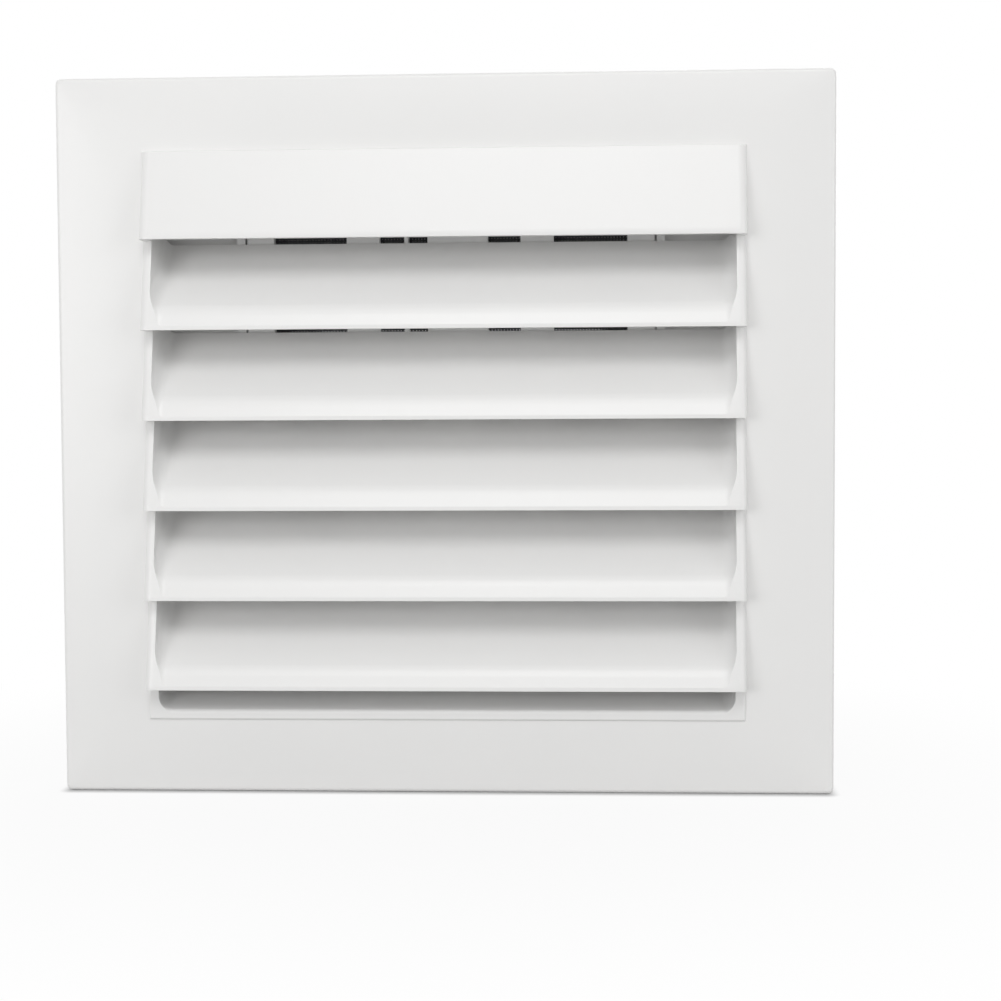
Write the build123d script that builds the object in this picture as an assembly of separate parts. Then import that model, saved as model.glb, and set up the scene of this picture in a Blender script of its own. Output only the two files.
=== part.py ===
from build123d import *
from math import atan2, cos, degrees, radians, sin, tan
import os

# Louvred wall ventilator, in millimetres.
# +X is to the viewer's right, +Y runs into the wall and +Z is up.
# The origin is on the duct's axis, in the plane of the wall, and the front faces -Y.

# Cover: border and skirt
flange_width = 187.0
flange_height = 173.0
skirt_depth = 15.0
skirt_wall = 2.0
corner_radius = 1.4
edge_radius = 1.0
crown_rise = 1.0
crown_reach = 16.0
crown_shares = (0.0, 0.3, 0.65, 1.0)
corner_softening = 0.8

# Cover: louvre field
louvre_width = 144.5
hood_height = 21.4
louvre_pitch = 21.6
slat_count = 6
sill_height = 7.85
plinth_rise = 0.6
plinth_radius = 0.5
hood_reach = 5.0
lip_height = 0.8
lip_radius = 6.0
slat_wall = 2.0
cheek_wall = 2.4
face_slope = 12.1
foot_slope = 20.0
foot_height = 4.0
bend_radius = 8.0
roof_radius = 5.0
pocket_end_radius = 3.0
sill_drop = 5.6
sill_radius = 1.2
hood_end_radius = 2.0
hood_top_radius = 0.5
sight_gap = 0.1

# Cover: stiffening ribs and snap wedges
rib_wall = 1.5
rib_depth = 4.0
side_rib_level = 30.0
top_rib_offset = 24.0
snap_width = 12.0
snap_depth = 1.5
snap_bite = 0.8
side_snap_level = 45.0
top_snap_offset = 52.0

# Wall plate
plate_wall = 2.0
plate_clearance = 0.4
plate_rim_wall = 1.6
plate_rim_height = 6.0
snap_clearance = 0.3
seat_rim_wall = 2.0
spigot_radius = 49.0
spigot_wall = 2.0
spigot_length = 40.0
spigot_chamfer = 1.0
screw_spacing_x = 162.0
screw_spacing_z = 120.0
screw_hole_radius = 2.25
screw_pad_radius = 6.0
screw_pad_height = 1.5

# Screen cassette and mesh
cassette_width = 100.0
cassette_height = 112.0
cassette_depth = 3.0
cassette_gap = 0.5
cassette_offset = 1.0
cassette_radius = 1.0
cassette_rail = 6.0
side_bar = 6.6
outer_opening = 18.0
bar_width = 8.1
inner_opening = 8.0
keeper_opening = 6.1
keeper_bar = 1.0
keeper_rest = 4.7
mesh_depth = 0.6
mesh_margin = 2.0
mesh_clearance = 0.3
mesh_columns = 8
mesh_rows = 9
mesh_strand = 1.2
cover_gap = 0.5

# Depths, counted from the wall
plate_front = -plate_wall
cassette_front = plate_front - cassette_depth
slat_rear = cassette_front - cover_gap
edge_front = -skirt_depth
border_back = edge_front + skirt_wall
border_front = edge_front - crown_rise
plinth_front = border_front - plinth_rise
lip_front = plinth_front - hood_reach
clear_front = lip_front - hood_reach

# Heights
louvre_height = hood_height + (slat_count - 1) * louvre_pitch + sill_height
louvre_top = louvre_height / 2
louvre_bottom = -louvre_height / 2

# A slat's upper face runs from its bend back to just under the lip above
bend_depth = lip_front + foot_height * tan(radians(foot_slope))
slat_rise = louvre_pitch - sight_gap - lip_height - foot_height
slat_slope = degrees(atan2(slat_rear - bend_depth, slat_rise))

# Insides of the skirt, and the plate that drops into it
skirt_inner_width = flange_width - 2 * skirt_wall
skirt_inner_height = flange_height - 2 * skirt_wall
plate_width = skirt_inner_width - 2 * plate_clearance
plate_height = skirt_inner_height - 2 * plate_clearance
snap_middle = plate_front - plate_rim_height / 2


def slab(width, height, back, front, radius=0.0):
    """A plate parallel to the wall, from the depth back to the depth front."""
    outline = RectangleRounded(width, height, radius) if radius else Rectangle(width, height)
    return extrude(Plane.XZ.offset(-back) * outline, amount=back - front)


def prism(points, radii, width):
    """A depth and height outline with rounded corners, drawn out across the width."""
    outline = make_face(Plane.YZ * FilletPolyline(*points, radius=radii, close=True))
    return extrude(outline, amount=width / 2, both=True)


def lip_level(index):
    """Height of a slat's lower edge, the slats being counted from the top."""
    return louvre_top - hood_height - index * louvre_pitch


def pillow():
    """The border's crowned body, with its skirt run back to the wall and its front edge rounded."""
    body = slab(flange_width, flange_height, 0, edge_front, corner_radius)
    sections = []
    for share in crown_shares:
        step = share * crown_reach
        rise = crown_rise * (1 - (1 - share) ** 2)
        outline = RectangleRounded(
            flange_width - 2 * step, flange_height - 2 * step, corner_radius + corner_softening * step)
        sections.append(Plane.XZ.offset(-edge_front + rise) * outline)
    body += loft(sections)
    rim = [edge for edge in body.edges() if abs(edge.center().Y - edge_front) < edge_radius / 10]
    return fillet(rim, edge_radius)


def slat_bend(level, set_back):
    """Where a slat's steep foot meets its upper face, on its outer side or set back by a wall."""
    middle = radians(foot_slope + slat_slope) / 2
    reach = set_back / cos(radians(slat_slope - foot_slope) / 2)
    return bend_depth + reach * cos(middle), level + lip_height + foot_height - reach * sin(middle)


def face_depth_at(level, height, set_back):
    """Depth of a slat's sloping face at a height, on its outer side or set back by a wall."""
    start = lip_front + set_back / cos(radians(face_slope))
    return start + (height - level - lip_height) * tan(radians(face_slope))


def hood(index):
    """The sawtooth behind one slat's outer side, up to the lip above, its ends rounded where they show."""
    level = lip_level(index)
    top = level + louvre_pitch if index else louvre_top
    points = [
        (lip_front, level),
        (lip_front, level + lip_height),
        (face_depth_at(level, top, 0), top),
        (slat_rear, top),
        (slat_rear, level),
    ]
    body = prism(points, [0, lip_radius, 0, 0, 0], louvre_width)
    ends = body.faces().sort_by(Axis.X)
    shown = [edge for end in (ends[0], ends[-1]) for edge in end.edges().sort_by(Axis.Y)[:3]]
    body = fillet(shown, hood_end_radius)
    if index == 0:
        roof = body.faces().sort_by(Axis.Z)[-1]
        body = fillet(roof.edges().sort_by(Axis.Y)[0], hood_top_radius)
    return body


def foot_at(bend, height):
    """The point on a slat's steep foot at a height, the foot's bend being given."""
    return bend[0] - (bend[1] - height) * tan(radians(foot_slope)), height


def air_space(index):
    """The passage under one slat: in below its lip, up behind its face and out at the back."""
    level = lip_level(index)
    if index == 0:
        ceiling_end = louvre_top - slat_wall
        inner_foot = (face_depth_at(level, level, slat_wall), level)
        inner_bend = (face_depth_at(level, ceiling_end, slat_wall), ceiling_end)
        inner_radius = roof_radius
    else:
        ceiling_end = level + louvre_pitch - sight_gap - slat_wall / sin(radians(slat_slope))
        inner_bend = slat_bend(level, slat_wall)
        inner_foot = foot_at(inner_bend, level)
        inner_radius = bend_radius - slat_wall
    if index < slat_count - 1:
        floor_bend = slat_bend(level - louvre_pitch, 0)
        floor_front = foot_at(floor_bend, level - louvre_pitch - lip_height)
        floor_radius = bend_radius
    else:
        floor_bend = (plinth_front, level - sill_drop)
        floor_front = (plinth_front, louvre_bottom)
        floor_radius = sill_radius
    points = [
        (clear_front, level),
        inner_foot,
        inner_bend,
        (slat_rear, ceiling_end),
        (slat_rear, level - sight_gap),
        floor_bend,
        floor_front,
        (clear_front, floor_front[1]),
    ]
    body = prism(points, [0, 0, inner_radius, 0, 0, floor_radius, 0, 0], louvre_width - 2 * cheek_wall)
    ends = body.faces().sort_by(Axis.X)
    floor_ends = []
    for end in (ends[0], ends[-1]):
        for edge in end.edges():
            if edge.center().Y > plinth_front and edge.center().Z < level - sight_gap:
                floor_ends.append(edge)
    return fillet(floor_ends, pocket_end_radius)


def louvre_field():
    """The raised field: a plinth with its sawtooth of hoods, opened by the air spaces."""
    field = slab(louvre_width, louvre_height, slat_rear, plinth_front)
    rim = field.faces().sort_by(Axis.Y)[0].edges()
    field = fillet(rim, plinth_radius)
    for index in range(slat_count):
        field += hood(index)
    for index in range(slat_count):
        field -= air_space(index)
    return field


def snap_places():
    """Middle and way out of each snap, on the four walls of the skirt."""
    places = []
    for side in (-1, 1):
        for level in (-side_snap_level, side_snap_level):
            places.append((Vector(side * skirt_inner_width / 2, snap_middle, level), Vector(side, 0, 0)))
        for offset in (-top_snap_offset, top_snap_offset):
            places.append((Vector(offset, snap_middle, side * skirt_inner_height / 2), Vector(0, 0, side)))
    return places


def snap_wedge(middle, outward):
    """A wedge on the skirt's inner wall, sloping on the side that meets the plate first."""
    reach = plate_clearance + snap_bite
    points = [(0, -snap_depth / 2), (-reach, -snap_depth / 2), (0, snap_depth / 2 + reach)]
    plane = Plane(origin=middle, x_dir=outward, z_dir=outward.cross(Vector(0, 1, 0)))
    outline = make_face(plane * Polyline(*points, close=True))
    return extrude(outline, amount=snap_width / 2, both=True)


def stiffening_ribs():
    """Short ribs that tie the louvre field to the skirt behind the border."""
    ribs = []
    side_span = (skirt_inner_width - louvre_width) / 2
    top_span = (skirt_inner_height - louvre_height) / 2
    for side in (-1, 1):
        for level in (-side_rib_level, 0, side_rib_level):
            rib = slab(side_span, rib_wall, border_back + rib_depth, border_back)
            ribs.append(Pos(side * (louvre_width + side_span) / 2, 0, level) * rib)
        for offset in (-top_rib_offset, top_rib_offset):
            rib = slab(rib_wall, top_span, border_back + rib_depth, border_back)
            ribs.append(Pos(offset, 0, side * (louvre_height + top_span) / 2) * rib)
    return ribs


def louvre_cover():
    """Border, skirt, louvre field, ribs and snap wedges, moulded as one piece."""
    shell = pillow()
    shell -= slab(skirt_inner_width, skirt_inner_height, 0, border_back, corner_radius)
    shell -= slab(louvre_width, louvre_height, 0, clear_front)
    shell += louvre_field()
    for rib in stiffening_ribs():
        shell += rib
    for middle, outward in snap_places():
        shell += snap_wedge(middle, outward)
    return shell


def wall_plate():
    """Plate inside the skirt, with a stiffening rim, a seat for the cassette and the duct's spigot."""
    rim_front = plate_front - plate_rim_height
    plate = slab(plate_width, plate_height, 0, rim_front, corner_radius)
    plate -= slab(
        plate_width - 2 * plate_rim_wall, plate_height - 2 * plate_rim_wall, plate_front, rim_front)
    seat_width = cassette_width + 2 * cassette_gap
    seat_height = cassette_height + 2 * cassette_gap
    seat = slab(seat_width + 2 * seat_rim_wall, seat_height + 2 * seat_rim_wall, plate_front, cassette_front)
    seat -= slab(seat_width, seat_height, plate_front, cassette_front)
    plate += Pos(cassette_offset, 0, 0) * seat
    spigot = extrude(Plane.XZ * Circle(spigot_radius), amount=-spigot_length)
    plate += chamfer(spigot.edges().sort_by(Axis.Y)[-1], spigot_chamfer)
    bore = Plane.XZ.offset(-spigot_length) * Circle(spigot_radius - spigot_wall)
    plate -= extrude(bore, amount=spigot_length + plate_wall)
    for x in (-screw_spacing_x / 2, screw_spacing_x / 2):
        for z in (-screw_spacing_z / 2, screw_spacing_z / 2):
            pad = Plane.XZ * Pos(x, z) * Circle(screw_pad_radius)
            hole = Plane.XZ * Pos(x, z) * Circle(screw_hole_radius)
            plate += extrude(pad, amount=plate_wall + screw_pad_height)
            plate -= extrude(hole, amount=plate_wall + screw_pad_height)
    for middle, outward in snap_places():
        plate -= snap_window(middle, outward)
    return plate


def snap_window(middle, outward):
    """A hole through the plate's rim for one snap wedge, clear of it on every side."""
    across = Vector(outward.Z, 0, outward.X)
    through = 2 * (plate_clearance + plate_rim_wall) + snap_clearance
    width = snap_width + 2 * snap_clearance
    depth = snap_depth + plate_clearance + snap_bite + 2 * snap_clearance
    size = outward * through + across * width
    shift = (plate_clearance + snap_bite) / 2
    return Pos(middle.X, middle.Y + shift, middle.Z) * Box(abs(size.X), depth, abs(size.Z))


def cassette_openings():
    """Left and right edge of each upright opening in the cassette, from left to right."""
    left = -cassette_width / 2 + side_bar
    keeper_left = left + outer_opening + bar_width
    keeper_right = keeper_left + keeper_opening
    right = cassette_width / 2 - side_bar
    inner_right = right - outer_opening - bar_width
    return [
        (left, left + outer_opening),
        (keeper_left, keeper_right),
        (keeper_right + keeper_bar, keeper_right + keeper_bar + keeper_rest),
        (inner_right - inner_opening, inner_right),
        (right - outer_opening, right),
    ]


def screen_frame():
    """Cassette of upright bars that drops into the plate's seat, rebated behind for the mesh."""
    frame = slab(cassette_width, cassette_height, plate_front, cassette_front, cassette_radius)
    opening_height = cassette_height - 2 * cassette_rail
    for left, right in cassette_openings():
        opening = slab(right - left, opening_height, plate_front, cassette_front)
        frame -= Pos((left + right) / 2, 0, 0) * opening
    rebate_width = cassette_width - 2 * mesh_margin
    rebate_height = cassette_height - 2 * mesh_margin
    frame -= slab(rebate_width, rebate_height, plate_front, plate_front - mesh_depth)
    return Pos(cassette_offset, 0, 0) * frame


def insect_mesh():
    """Sheet of mesh in the cassette's rebate, with a coarse grid of square gaps."""
    width = cassette_width - 2 * (mesh_margin + mesh_clearance)
    height = cassette_height - 2 * (mesh_margin + mesh_clearance)
    sheet = slab(width, height, plate_front, plate_front - mesh_depth)
    column = (width - mesh_strand) / mesh_columns
    row = (height - mesh_strand) / mesh_rows
    gap = Rectangle(column - mesh_strand, row - mesh_strand)
    places = GridLocations(column, row, mesh_columns, mesh_rows)
    gaps = Plane.XZ.offset(-plate_front) * (Sketch() + [place * gap for place in places])
    return Pos(cassette_offset, 0, 0) * (sheet - extrude(gaps, amount=mesh_depth))


pieces = {
    "louvre_cover": louvre_cover,
    "wall_plate": wall_plate,
    "screen_frame": screen_frame,
    "insect_mesh": insect_mesh,
}

os.makedirs("parts", exist_ok=True)
for name, build_piece in pieces.items():
    export_step(build_piece(), f"parts/{name}.step")
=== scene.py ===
# %% [markdown]
# A louvred wall ventilator in satin white plastic, seen from the front and a little above.
# The packed solids are the frame: they already have the border, the leaning slats, the wall plate and the
# cassette at their real size. This lesson gives them their finish, weaves the insect mesh that the solids
# only stand in for, and lights the whole as on a studio table.

# %% Load the frame
import math

import bpy
import numpy as np
from mathutils import Matrix, Vector


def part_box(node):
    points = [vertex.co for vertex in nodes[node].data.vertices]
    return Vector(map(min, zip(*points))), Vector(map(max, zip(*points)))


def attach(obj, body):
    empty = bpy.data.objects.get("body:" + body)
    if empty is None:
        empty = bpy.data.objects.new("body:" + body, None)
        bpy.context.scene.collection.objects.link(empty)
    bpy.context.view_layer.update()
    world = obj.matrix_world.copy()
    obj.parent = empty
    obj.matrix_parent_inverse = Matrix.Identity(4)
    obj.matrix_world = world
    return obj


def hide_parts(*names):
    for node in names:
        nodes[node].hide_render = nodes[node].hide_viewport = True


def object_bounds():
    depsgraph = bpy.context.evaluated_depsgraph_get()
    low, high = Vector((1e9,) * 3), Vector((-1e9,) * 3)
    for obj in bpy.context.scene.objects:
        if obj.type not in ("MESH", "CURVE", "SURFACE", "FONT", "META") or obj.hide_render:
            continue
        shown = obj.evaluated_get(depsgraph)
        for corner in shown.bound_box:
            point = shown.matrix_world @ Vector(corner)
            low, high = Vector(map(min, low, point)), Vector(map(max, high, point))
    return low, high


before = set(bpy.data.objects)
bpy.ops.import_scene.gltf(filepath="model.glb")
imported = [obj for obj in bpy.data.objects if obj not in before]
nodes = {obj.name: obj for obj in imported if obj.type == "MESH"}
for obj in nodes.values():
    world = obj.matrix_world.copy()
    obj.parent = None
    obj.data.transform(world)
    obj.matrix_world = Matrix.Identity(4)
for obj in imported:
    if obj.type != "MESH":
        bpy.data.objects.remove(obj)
cad_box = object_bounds()
scene = bpy.context.scene
MM = 0.001
print("nodes:", sorted(nodes))

# %% [markdown]
# Shader maths reads best as plain arithmetic. A small class wraps one socket, and each operator adds the Math
# node that it stands for, so that `1 - mask` or `grain * 0.1` can be written as they are spoken.
# Every other node comes from one method, which takes the node's type, its settings and its inputs.


# %% A socket that can be reckoned with
class Value:
    """One output socket of a shader, with the operators that the finishes below use."""

    def __init__(self, tree, socket):
        self.tree = tree
        self.socket = socket

    @classmethod
    def node(cls, tree, kind, settings=None, inputs=None, output=0):
        """Add a node of a kind, set its properties, fill or link its inputs, and wrap one output."""
        made = tree.nodes.new(kind)
        for name, setting in (settings or {}).items():
            setattr(made, name, setting)
        for name, given in (inputs or {}).items():
            if isinstance(given, Value):
                tree.links.new(given.socket, made.inputs[name])
            else:
                made.inputs[name].default_value = given
        return cls(tree, made.outputs[output])

    def math(self, operation, first, second):
        """One Math node on two wrapped values, or on one and a number."""
        return Value.node(self.tree, "ShaderNodeMath", {"operation": operation}, {0: first, 1: second})

    def __add__(self, other):
        return self.math("ADD", self, other)

    def __radd__(self, other):
        return self.math("ADD", other, self)

    def __sub__(self, other):
        return self.math("SUBTRACT", self, other)

    def __rsub__(self, other):
        return self.math("SUBTRACT", other, self)

    def __mul__(self, other):
        return self.math("MULTIPLY", self, other)

    def __rmul__(self, other):
        return self.math("MULTIPLY", other, self)


def feed(value, shader, socket):
    """Link a wrapped value to one of the shader's sockets."""
    value.tree.links.new(value.socket, shader.inputs[socket])


print("operators:", [name for name in vars(Value) if name.startswith(("__add", "__sub", "__mul", "__r"))])

# %% [markdown]
# Every finish here starts in the same way: a Principled shader, and the point on the object in metres.
# A noise at that point says how the finish varies, and two colours are mixed by it. The point comes from
# Object coordinates, so the pattern has its real scale and stays on the piece from wherever one looks.

# %% What each finish starts from
NOISE_MIDDLE = 0.5
MIX_SHARE, MIX_FIRST, MIX_SECOND = 0, 6, 7
MIX_COLOUR = 2


def new_finish(name):
    """A material with a Principled shader: gives the material, the shader and its Object coordinates."""
    material = bpy.data.materials.new(name)
    material.use_nodes = True
    tree = material.node_tree
    place = Value.node(tree, "ShaderNodeTexCoord", output="Object")
    print("finish:", name)
    return material, tree.nodes["Principled BSDF"], place


def noise(place, scale, detail):
    """Smooth noise about NOISE_MIDDLE: scale is in patches to the metre, detail in layers of finer ones."""
    return Value.node(
        place.tree, "ShaderNodeTexNoise", {}, {"Vector": place, "Scale": scale, "Detail": detail})


def mix_colours(share, first, second):
    """The first colour where share is 0, the second where it is 1, and a straight mix between."""
    return Value.node(
        share.tree, "ShaderNodeMix", {"data_type": "RGBA"},
        {MIX_SHARE: share, MIX_FIRST: first, MIX_SECOND: second}, MIX_COLOUR)


# %% [markdown]
# The cover is moulded in white styrene-like plastic with a satin face. A mould for such a part is spark
# eroded to a very fine grain, which breaks up the gloss without showing as a texture from a step away. Two
# noises make it: a fine one for the grain and a broad one for the slight unevenness of a large flat moulding.
# The wall plate and the cassette are of the same plastic, from a duller mould.
# A painted flat colour would be quicker, but it leaves the highlights on the slats dead.

# %% Satin moulded plastic
WHITE = (0.835, 0.833, 0.826, 1.0)
WARM_WHITE = (0.85, 0.846, 0.836, 1.0)
PLASTIC_IOR = 1.49
GRAIN_SCALE = 1800.0
GRAIN_DETAIL = 3.0
GRAIN_ROUGHNESS = 0.10
GRAIN_STRENGTH = 0.25
FLOW_SCALE = 28.0
FLOW_DETAIL = 2.0
FLOW_ROUGHNESS = 0.08


def moulded_plastic(name, roughness, grain_depth):
    """White plastic: roughness = base + shares of grain and flow, bump = grain, colour follows the flow."""
    material, shader, place = new_finish(name)
    grain = noise(place, GRAIN_SCALE, GRAIN_DETAIL)
    flow = noise(place, FLOW_SCALE, FLOW_DETAIL)
    feed(mix_colours(flow, WHITE, WARM_WHITE), shader, "Base Color")
    unevenness = GRAIN_ROUGHNESS * (grain - NOISE_MIDDLE) + FLOW_ROUGHNESS * (flow - NOISE_MIDDLE)
    feed(roughness + unevenness, shader, "Roughness")
    bump = Value.node(
        place.tree, "ShaderNodeBump", {},
        {"Height": grain, "Strength": GRAIN_STRENGTH, "Distance": grain_depth})
    feed(bump, shader, "Normal")
    shader.inputs["IOR"].default_value = PLASTIC_IOR
    return material


cover_finish = moulded_plastic("satin_white_plastic", roughness=0.32, grain_depth=0.02 * MM)
plate_finish = moulded_plastic("matte_white_plastic", roughness=0.52, grain_depth=0.03 * MM)
for name, finish in (
        ("louvre_cover", cover_finish), ("wall_plate", plate_finish), ("screen_frame", plate_finish)):
    nodes[name].data.materials.clear()
    nodes[name].data.materials.append(finish)
    print(name, "is in", finish.name)

# %% [markdown]
# The insect mesh is a fine woven gauze of dark flat threads, clamped between the cassette and the wall plate.
# The solids hold it as a thin sheet with a few gaps. Here it is woven for real: each thread is a shallow arch
# carried along a path that goes over one cross thread and under the next. All threads of one direction are
# made at once as one block of points. A weave drawn on a flat sheet would take fewer faces, but it would have
# no depth from the duct's side. So close a weave shows as a dark screen that lets a little light through; its
# near-black threads, woven this close, are partly painted shade, standing in for the shade inside the duct.

# %% Threads side by side
THREAD_PITCH = 0.75 * MM
THREAD_WIDTH = 0.6 * MM
THREAD_DEPTH = 0.2 * MM


def woven_threads(low, high, across_count, along_count, swap):
    """Flat threads side by side; at crossing j of thread i the height is +-depth/2, its sign (-1)^(i+j).

    The section is an arch of three points, of the thread's width and depth. Gives points and quads; swap
    turns the sign over, so that two sets laid across each other pass over and under.
    """
    step_across = (high[0] - low[0]) / across_count
    step_along = (high[1] - low[1]) / along_count
    thread = np.arange(across_count)[:, None, None]
    crossing = np.arange(along_count)[None, :, None]
    side = np.array([-0.5, 0.0, 0.5]) * THREAD_WIDTH
    lift = np.array([-0.5, 0.5, -0.5]) * THREAD_DEPTH
    sign = 1.0 - 2.0 * ((thread + crossing + swap) % 2)
    section = len(side)
    shape = (across_count, along_count, section)
    across = np.broadcast_to(low[0] + (thread + 0.5) * step_across + side, shape)
    along = np.broadcast_to(low[1] + (crossing + 0.5) * step_along, shape)
    height = np.broadcast_to(sign * THREAD_DEPTH / 2 + lift, shape)
    points = np.stack([across, along, height], axis=-1).reshape(-1, 3)
    here = (thread * along_count + crossing[:, :-1]) * section + np.arange(section - 1)
    quads = np.stack([here, here + 1, here + section + 1, here + section], axis=-1).reshape(-1, 4)
    return points, quads


mesh_low, mesh_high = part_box("insect_mesh")
columns = int((mesh_high.x - mesh_low.x) / THREAD_PITCH)
rows = int((mesh_high.z - mesh_low.z) / THREAD_PITCH)
upright, upright_quads = woven_threads(
    (mesh_low.x, mesh_low.z), (mesh_high.x, mesh_high.z), columns, rows, 0)
level, level_quads = woven_threads(
    (mesh_low.z, mesh_low.x), (mesh_high.z, mesh_high.x), rows, columns, 1)
print("threads:", columns, "upright and", rows, "level")

# %% [markdown]
# The two sets were worked out lying flat. They now go where the sheet is: the level set with its two
# directions changed over, and its faces turned, because that change would leave them inside out.

# %% Weave the gauze


def mesh_piece(name, points, quads):
    """A mesh object at the origin from arrays of points and quads, shaded smooth."""
    mesh = bpy.data.meshes.new(name)
    mesh.from_pydata(points.tolist(), [], quads.tolist())
    mesh.polygons.foreach_set("use_smooth", np.ones(len(mesh.polygons), bool))
    mesh.update()
    piece = bpy.data.objects.new(name, mesh)
    scene.collection.objects.link(piece)
    return piece


middle = (mesh_low.y + mesh_high.y) / 2
upright_points = np.column_stack([upright[:, 0], middle - upright[:, 2], upright[:, 1]])
level_points = np.column_stack([level[:, 1], middle - level[:, 2], level[:, 0]])
gauze = mesh_piece(
    "insect_gauze",
    np.concatenate([upright_points, level_points]),
    np.concatenate([upright_quads, level_quads[:, ::-1] + len(upright_points)]))
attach(gauze, "root")
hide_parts("insect_mesh")
print("gauze:", len(gauze.data.polygons), "faces")

# %% [markdown]
# Glass-fibre gauze is dipped in dark vinyl, so the threads have a dull sheen and vary a little in tone.
# One noise does both: where the vinyl is lighter it is also rougher. Their near-black tone is painted shade
# too, standing in for the shade inside the duct behind the slats.

# %% Dark vinyl on the threads, with painted shade
# The near-black thread colours are partly painted shade: they keep the slits under the lips as dark as the
# duct's shade would.
THREAD_DARK_AND_PAINTED_SHADE = (0.012, 0.012, 0.013, 1.0)
THREAD_LIGHT_AND_PAINTED_SHADE = (0.035, 0.035, 0.037, 1.0)
THREAD_SCALE = 900.0
THREAD_DETAIL = 2.0
VINYL_ROUGHNESS = 0.55
VINYL_SPREAD = 0.2

thread_and_shade_finish, thread_shader, thread_place = new_finish("dark_vinyl_thread_and_painted_shade")
thread_tone = noise(thread_place, THREAD_SCALE, THREAD_DETAIL)
feed(mix_colours(thread_tone, THREAD_DARK_AND_PAINTED_SHADE, THREAD_LIGHT_AND_PAINTED_SHADE), thread_shader, "Base Color")
feed(VINYL_ROUGHNESS + VINYL_SPREAD * (thread_tone - NOISE_MIDDLE), thread_shader, "Roughness")
gauze.data.materials.append(thread_and_shade_finish)
print("gauze is in", thread_and_shade_finish.name)

# %% [markdown]
# The ventilator stands on its lower edge on a plain white table. The floor is a large sheet at that height.
# Rays that look at the background find it white, as the world behind is. A small share of what the lamps give
# the floor is left in, so the object keeps its soft shadow, and right at the foot the table is left as it is,
# which keeps the dark line where the border touches it. A floor of plain white paint would come out grey next
# to the world. First come the three helpers that say where the floor is white.

# %% Where the background is white
BACKGROUND_RAYS = ("Is Camera Ray", "Is Glossy Ray", "Is Transmission Ray")
PLAIN_WHITE = (1.0, 1.0, 1.0, 1.0)
VECTOR_LENGTH = 1


def background_rays(tree):
    """1 where a ray looks at the background, else 0: the largest of the flags of BACKGROUND_RAYS."""
    seen, *others = [Value.node(tree, "ShaderNodeLightPath", output=ray) for ray in BACKGROUND_RAYS]
    for flag in others:
        seen = seen.math("MAXIMUM", seen, flag)
    return seen


def vector_step(operation, first, second=(0.0, 0.0, 0.0), output=0):
    """One Vector Math node on a wrapped vector; the output VECTOR_LENGTH gives its length."""
    return Value.node(
        first.tree, "ShaderNodeVectorMath", {"operation": operation}, {0: first, 1: second}, output)


def smooth_rise(value, start, end):
    """0 up to start, 1 from end on, and an S-shaped rise between them."""
    return Value.node(
        value.tree, "ShaderNodeMapRange", {"interpolation_type": "SMOOTHSTEP"},
        {"Value": value, "From Min": start, "From Max": end})


print("white to:", BACKGROUND_RAYS)

# %% [markdown]
# The foot is a rectangle, the skirt's lower edge. How far a point lies outside it is worked out in one go:
# its distance from the rectangle's middle, each way, less half the rectangle, and no less than nothing.
# The white starts at the foot and is there by CONTACT_REACH. It is held at FLOOR_SHARE close to the object
# and becomes whole between NEAR_FLOOR and CLEAR_FLOOR, counted in metres from the origin, so no edge shows.

# %% Floor
FLOOR_COLOUR = (0.6, 0.6, 0.6, 1.0)
FLOOR_ROUGHNESS = 0.9
FLOOR_SIZE = 6.0
FLOOR_SHARE = 0.92
NEAR_FLOOR = 0.09
CLEAR_FLOOR = 0.24
SKIRT_DEPTH = 15.0 * MM
CONTACT_REACH = 4.0 * MM

floor_level = cad_box[0][2]
corners = np.array([[-1, -1, 0], [1, -1, 0], [1, 1, 0], [-1, 1, 0]]) * FLOOR_SIZE / 2
floor = mesh_piece("floor", corners + np.array([0, 0, floor_level]), np.array([[0, 1, 2, 3]]))
floor_finish, floor_shader, floor_place = new_finish("white_table")
floor_tree = floor_finish.node_tree
floor_shader.inputs["Base Color"].default_value = FLOOR_COLOUR
floor_shader.inputs["Roughness"].default_value = FLOOR_ROUGHNESS
floor_shader.inputs["Specular IOR Level"].default_value = 0.0

foot_middle = (0.0, -SKIRT_DEPTH / 2, floor_level)
foot_half = (cad_box[1][0] - CONTACT_REACH / 2, SKIRT_DEPTH / 2, 0.0)
from_foot = vector_step("ABSOLUTE", vector_step("SUBTRACT", floor_place, foot_middle))
past_foot = vector_step("MAXIMUM", vector_step("SUBTRACT", from_foot, foot_half))
clear = smooth_rise(vector_step("LENGTH", past_foot, output=VECTOR_LENGTH), 0.0, CONTACT_REACH)
far = smooth_rise(vector_step("LENGTH", floor_place, output=VECTOR_LENGTH), NEAR_FLOOR, CLEAR_FLOOR)
white_share = background_rays(floor_tree) * clear * (FLOOR_SHARE + (1.0 - FLOOR_SHARE) * far)
glow = Value.node(floor_tree, "ShaderNodeEmission", {}, {"Color": PLAIN_WHITE, "Strength": 1.0})
painted = Value(floor_tree, floor_shader.outputs["BSDF"])
table_top = Value.node(floor_tree, "ShaderNodeMixShader", {}, {0: white_share, 1: painted, 2: glow})
feed(table_top, floor_tree.nodes["Material Output"], "Surface")
floor.data.materials.append(floor_finish)
print("floor at", round(floor_level, 4))

# %% [markdown]
# White goods are photographed in a tent of white cloth, which lights them from all sides: here that is the
# world. Its light is AMBIENT, and what looks at it directly finds plain white.
# Lamps alone, with no tent, leave the spaces under the lips far too dark.

# %% White tent
AMBIENT = 0.53

world = bpy.data.worlds.new("studio")
scene.world = world
world.use_nodes = True
sky = world.node_tree.nodes["Background"]
sky.inputs["Color"].default_value = PLAIN_WHITE
feed(AMBIENT + (1.0 - AMBIENT) * background_rays(world.node_tree), sky, "Strength")
print("tent at", AMBIENT)

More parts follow.
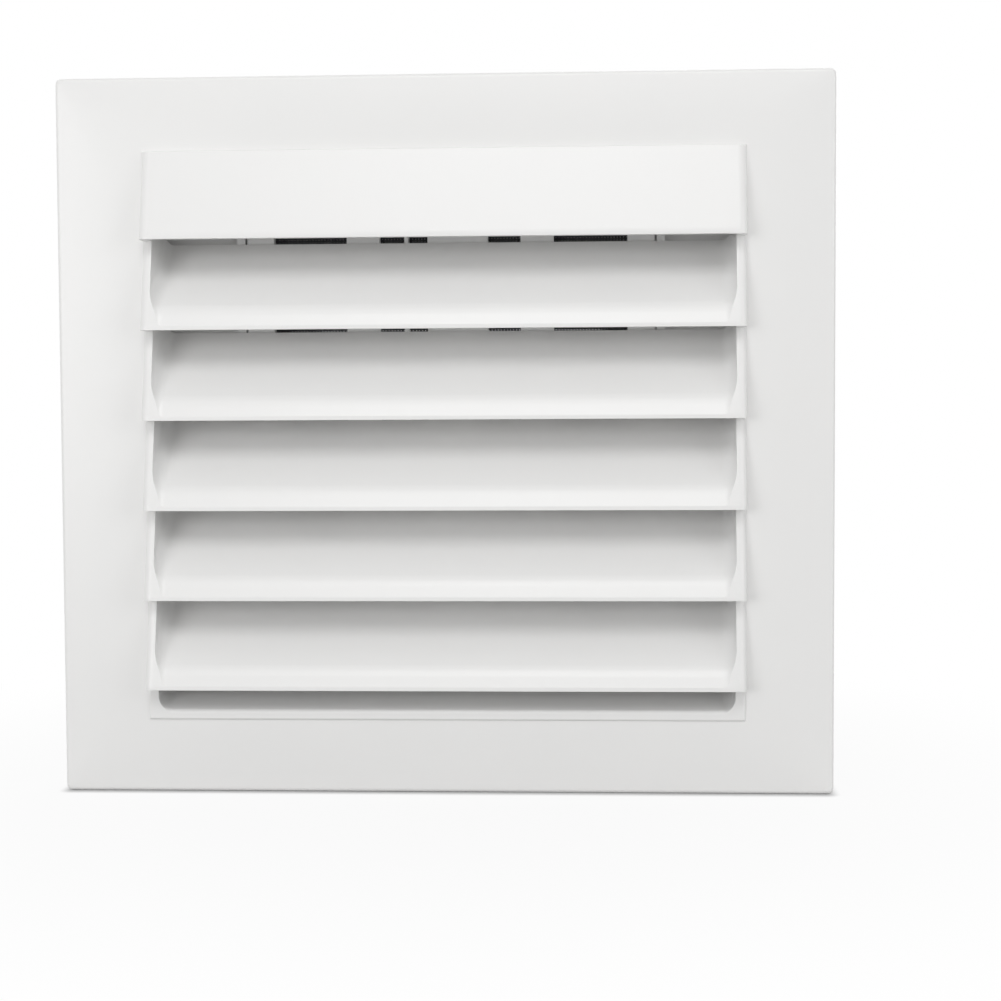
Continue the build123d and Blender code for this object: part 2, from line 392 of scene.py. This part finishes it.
# %% [markdown]
# A panel in front and above gives the slats their form: each lip throws a soft shade on the slat below, and
# the top slat, which nothing shades, comes out brightest. A large panel at the front left and a weaker one at
# the right keep the upright border pale, the left side a little more than the right. One behind shows the
# duct's side. Bare bulbs would be simpler, but their shadows under the lips have hard edges.

# %% Lamps


def panel_lamp(name, place, size, power):
    """A square soft panel at place, in metres, turned to face the origin; power is in watts."""
    lamp = bpy.data.lights.new(name, "AREA")
    lamp.shape = "SQUARE"
    lamp.size = size
    lamp.energy = power
    holder = bpy.data.objects.new(name, lamp)
    scene.collection.objects.link(holder)
    turn = (-Vector(place)).to_track_quat("-Z", "Y")
    holder.matrix_world = Matrix.Translation(place) @ turn.to_matrix().to_4x4()
    print(name, "gives", power, "W")


panel_lamp("key_panel", place=(0.0, -0.98, 0.85), size=0.5, power=3.6)
panel_lamp("front_left_panel", place=(-0.86, -1.23, 0.0), size=0.8, power=8.5)
panel_lamp("right_panel", place=(1.29, -0.74, 0.21), size=0.8, power=3.8)
panel_lamp("rear_panel", place=(0.4, 1.5, 0.6), size=0.8, power=6.0)

# %% [markdown]
# The camera stands where the photograph was taken from: a little to the right of the middle, level with the
# third slat's lip, turned slightly left and down. Place and angles come from a fit to the border's four edges
# and the lips. Turning the camera by eye would do for a first look, but the slits under the upper lips only
# show the screen behind them from the right height.

# %% Camera
FOCAL_PIXELS = 1800.0
IMAGE_PIXELS = 1001.0
SENSOR = 36.0
CAMERA_PLACE = (35.5 * MM, -447.2 * MM, 5.7 * MM)
LEVEL = 90.0
TURN_LEFT = 2.90
TILT_DOWN = 2.81
ROLL = -0.285

camera_data = bpy.data.cameras.new("photo_camera")
camera_data.sensor_width = SENSOR
camera_data.lens = SENSOR * FOCAL_PIXELS / IMAGE_PIXELS
camera = bpy.data.objects.new("photo_camera", camera_data)
scene.collection.objects.link(camera)
turn = (
    Matrix.Rotation(math.radians(TURN_LEFT), 4, "Z")
    @ Matrix.Rotation(math.radians(LEVEL - TILT_DOWN), 4, "X")
    @ Matrix.Rotation(math.radians(ROLL), 4, "Z"))
camera.matrix_world = Matrix.Translation(CAMERA_PLACE) @ turn
scene.camera = camera
scene.view_settings.view_transform = "Standard"
print("lens:", round(camera_data.lens, 2), "mm")

# %% [markdown]
# Looks must not change the size.
